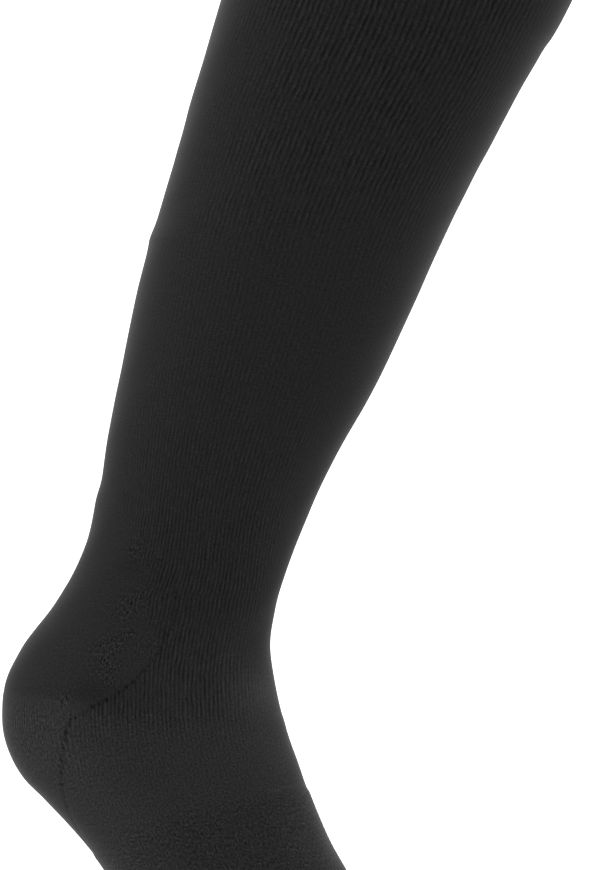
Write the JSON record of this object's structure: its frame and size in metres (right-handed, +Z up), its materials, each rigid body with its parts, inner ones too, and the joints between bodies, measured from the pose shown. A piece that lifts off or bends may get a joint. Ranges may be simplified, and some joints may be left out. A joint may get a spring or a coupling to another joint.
{
  "type": "compression stocking",
  "caption": "Hollow knee-high knitted compression stocking in ribbed black yarn, filled out as worn on a leg with a pointed foot.",
  "frame": {"origin": "middle of the cuff's top opening, where the wearer's leg holds the stocking up", "axes": "+Z up as worn in this pose, with the leg leaning forward; +X the way the toes point; +Y across the leg, the stocking being the same on both sides"},
  "size_m": [0.2288, 0.1168, 0.5249],
  "materials": {
    "cuff_knit": "double-turned rib knit, matt black stretch yarn",
    "leg_knit": "fine vertical ribs in matt black stretch yarn, slight sheen at grazing angles",
    "foot_knit": "plain fine knit in matt black yarn",
    "band_knit": "firm tuck knit with short crosswise floats, matt black yarn"
  },
  "bodies": {
    "root": {"cuff": "cuff_knit", "calf": "leg_knit", "leg": "leg_knit", "ankle": "leg_knit", "heel": "foot_knit", "arch_band": "band_knit", "foot": "foot_knit", "toe": "foot_knit"}
  },
  "joints": []
}
